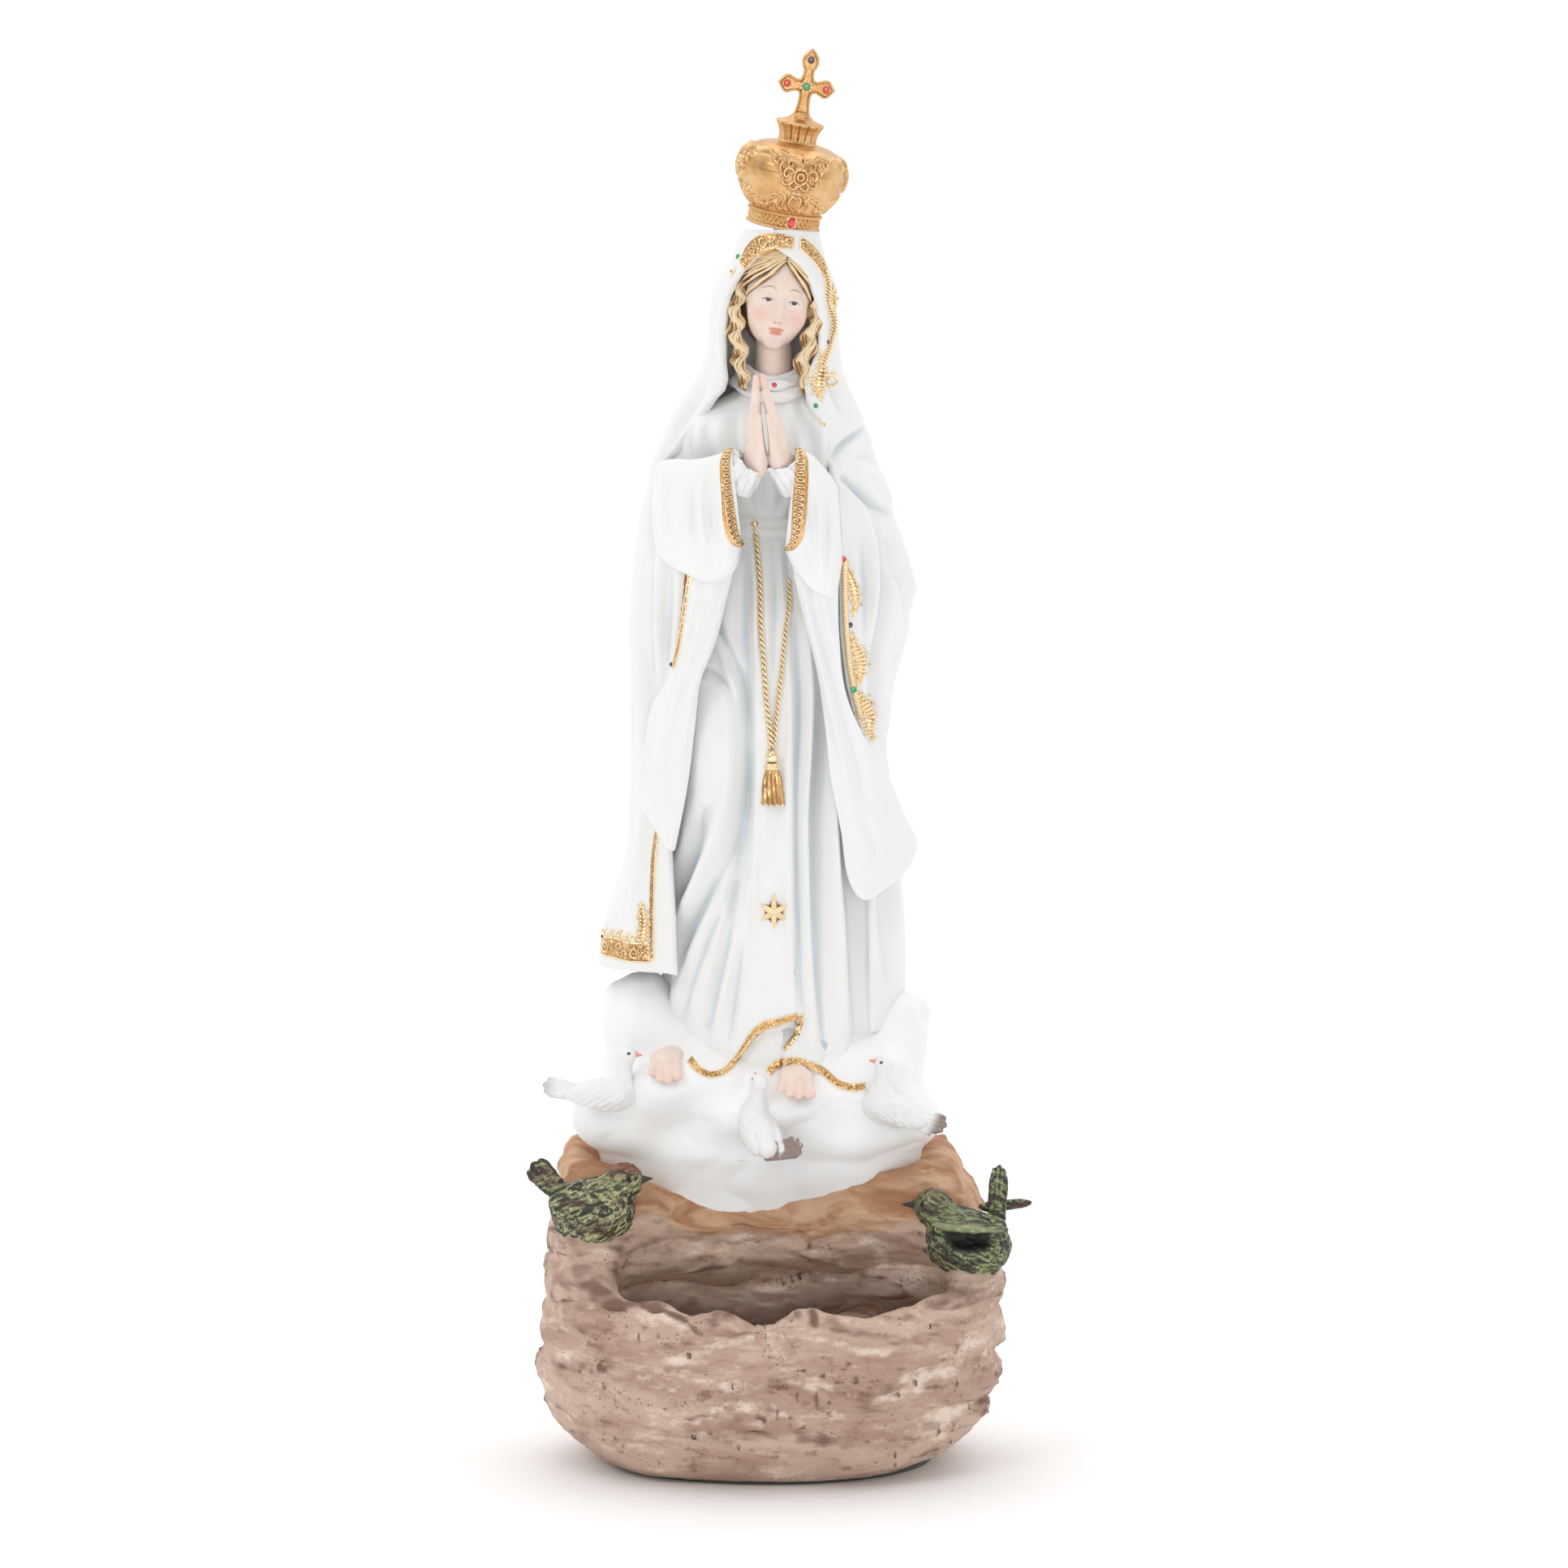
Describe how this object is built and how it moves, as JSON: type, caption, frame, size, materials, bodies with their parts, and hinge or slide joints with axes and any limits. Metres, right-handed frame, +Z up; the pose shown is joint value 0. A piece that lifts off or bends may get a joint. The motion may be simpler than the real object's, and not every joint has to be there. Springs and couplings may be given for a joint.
{
  "type": "crowned madonna statue",
  "caption": "Crowned Madonna with praying hands standing on a cloud with doves above an open rock bowl with perched birds; the crown lifts off.",
  "frame": {"origin": "on the surface the statue stands on, under the middle of the bowl", "axes": "+Z up, the statue faces -Y, +X to the right of someone facing it"},
  "size_m": [0.2188, 0.154, 0.6202],
  "materials": {
    "white_resin": "ivory-white paint on cast resin, with a cool grey-blue wash in the folds",
    "skin_resin": "pale painted skin on cast resin, with a blush",
    "hair_resin": "honey-blond paint with brown in the grooves",
    "gilding": "satin gold paint on raised relief, darker in the recesses",
    "rock_resin": "taupe and pinkish-brown rock paint, dry-brushed with cream and dark in the cracks",
    "moss_resin": "moss-green paint with maroon feather marks",
    "dove_resin": "white paint with a grey wash between the feathers and a coral beak",
    "felt": "dark felt pad",
    "stone_red": "faceted coral-red glass stone",
    "stone_green": "faceted green glass stone",
    "stone_dark": "faceted blue-black glass stone"
  },
  "bodies": {
    "statue": {"base_felt": "felt", "cloud_base": "white_resin", "crown_peg": "white_resin", "cuff_left": "white_resin", "cuff_right": "white_resin", "dove_left": "dove_resin", "dove_middle": "dove_resin", "dove_right": "dove_resin", "foot_left": "skin_resin", "foot_right": "skin_resin", "girdle_cord": "gilding", "hair_cap": "hair_resin", "hair_lock_left": "hair_resin", "hair_lock_right": "hair_resin", "hand_left": "skin_resin", "hand_right": "skin_resin", "head": "skin_resin", "mantle": "white_resin", "mantle_border_left": "gilding", "mantle_hem_border": "gilding", "mantle_panel_left": "white_resin", "mantle_panel_right": "white_resin", "panel_border_left": "gilding", "panel_border_right": "gilding", "rock_basin": "rock_resin", "skirt_star": "gilding", "sleeve_border_left": "gilding", "sleeve_border_right": "gilding", "sleeve_left": "white_resin", "sleeve_right": "white_resin", "stones_dark": "stone_dark", "stones_green": "stone_green", "stones_red": "stone_red", "tassel": "gilding", "tunic": "white_resin", "tunic_hem_border_left": "gilding", "tunic_hem_border_right": "gilding", "veil_border": "gilding", "waist_sash": "white_resin", "wren_left": "moss_resin", "wren_right": "moss_resin"},
    "crown": {"cross_gem_middle": "stone_green", "cross_gem_top": "stone_dark", "cross_gems_on_arms": "stone_red", "crown_band": "gilding", "crown_bulb": "gilding", "crown_collar": "gilding", "crown_cross": "gilding", "crown_gem": "stone_red"}
  },
  "joints": [
    {"name": "crown_lift", "type": "slide", "parent": "statue", "child": "crown", "axis": [0.1702, -0.1201, 0.9781], "range_m": [0, 0.03]}
  ]
}
